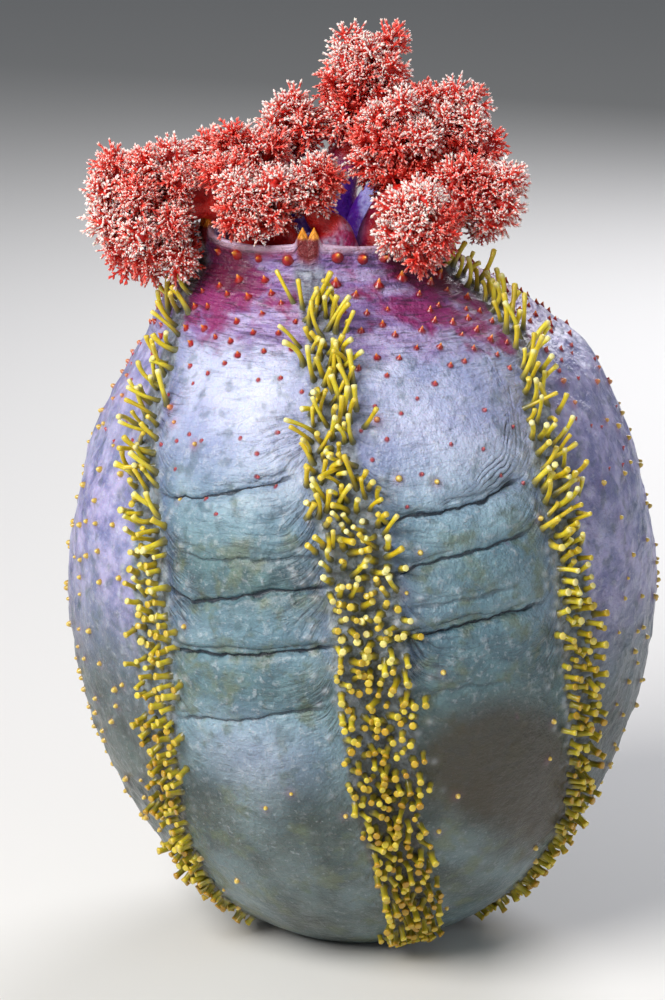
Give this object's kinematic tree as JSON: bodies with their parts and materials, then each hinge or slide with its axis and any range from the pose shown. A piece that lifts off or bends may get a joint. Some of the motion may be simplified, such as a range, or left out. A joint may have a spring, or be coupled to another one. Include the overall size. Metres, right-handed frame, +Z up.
{
  "type": "sea cucumber",
  "caption": "Life-size still model of a plump sea cucumber, a sea apple, standing on its rear end with rows of tube feet and a spread crown of branching tentacles.",
  "frame": {"origin": "middle of the flat on which the animal stands, on the floor", "axes": "+Z up through the body from the rear end to the mouth end, -Y towards the side with three close rows of tube feet, +X to the right as seen from that side"},
  "size_m": [0.1169, 0.1124, 0.1791],
  "materials": {
    "body_skin": "wet, wrinkled skin, lilac to grey-blue with pale mottling",
    "collar_skin": "wet magenta skin with small warts",
    "mouth_skin": "smooth wet violet skin",
    "tube_feet": "close rows of short yellow tube feet",
    "tentacle_stalk": "smooth wet red skin",
    "tentacle_crown": "bushy red branchlets with white tips"
  },
  "bodies": {
    "root": {"trunk": "body_skin", "collar": "collar_skin", "mouth_disc": "mouth_skin", "mouth": "mouth_skin", "vent": "collar_skin", "feet_back_left": "tube_feet", "feet_left": "tube_feet", "feet_centre": "tube_feet", "feet_right": "tube_feet", "feet_back_right": "tube_feet", "tentacle_1_stalk": "tentacle_stalk", "tentacle_1_crown": "tentacle_crown", "tentacle_2_stalk": "tentacle_stalk", "tentacle_2_crown": "tentacle_crown", "tentacle_3_stalk": "tentacle_stalk", "tentacle_3_crown": "tentacle_crown", "tentacle_4_stalk": "tentacle_stalk", "tentacle_4_crown": "tentacle_crown", "tentacle_5_stalk": "tentacle_stalk", "tentacle_5_crown": "tentacle_crown", "tentacle_6_stalk": "tentacle_stalk", "tentacle_6_crown": "tentacle_crown", "tentacle_7_stalk": "tentacle_stalk", "tentacle_7_crown": "tentacle_crown", "tentacle_8_stalk": "tentacle_stalk", "tentacle_8_crown": "tentacle_crown", "tentacle_8_side_stalk": "tentacle_stalk", "tentacle_8_side_crown": "tentacle_crown", "tentacle_9_stalk": "tentacle_stalk", "tentacle_9_crown": "tentacle_crown", "tentacle_10_stalk": "tentacle_stalk", "tentacle_10_crown": "tentacle_crown"}
  },
  "joints": []
}
